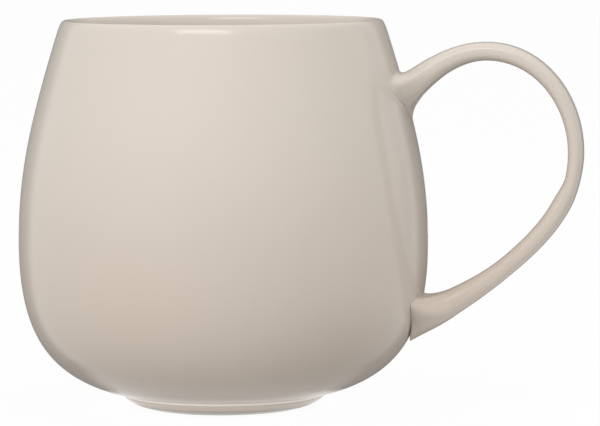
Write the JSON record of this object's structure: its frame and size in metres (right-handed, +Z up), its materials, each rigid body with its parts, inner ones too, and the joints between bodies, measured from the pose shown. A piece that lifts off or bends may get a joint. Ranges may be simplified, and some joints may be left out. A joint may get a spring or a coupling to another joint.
{
  "type": "mug",
  "caption": "Round-bellied glazed ceramic mug with a narrowed mouth, a low tapered foot ring and an ear-shaped strap handle with flared ends, for hot drinks.",
  "frame": {"origin": "on the standing plane, under the middle of the overall length from the belly to the handle's outside", "axes": "+X from the vessel towards the handle, +Z up through the mouth"},
  "size_m": [0.1354, 0.098, 0.0927],
  "materials": {
    "vessel_glaze": "glossy warm grey-beige glaze",
    "handle_glaze": "glossy warm grey-beige glaze",
    "slip_glaze": "clay seam under the same glossy glaze",
    "foot_glaze": "glossy glaze on the sides, bare fired clay on the standing face"
  },
  "bodies": {
    "root": {"vessel": "vessel_glaze", "foot_ring": "foot_glaze", "foot_slip": "slip_glaze", "handle": "handle_glaze", "upper_handle_slip": "slip_glaze", "lower_handle_slip": "slip_glaze"}
  },
  "joints": []
}
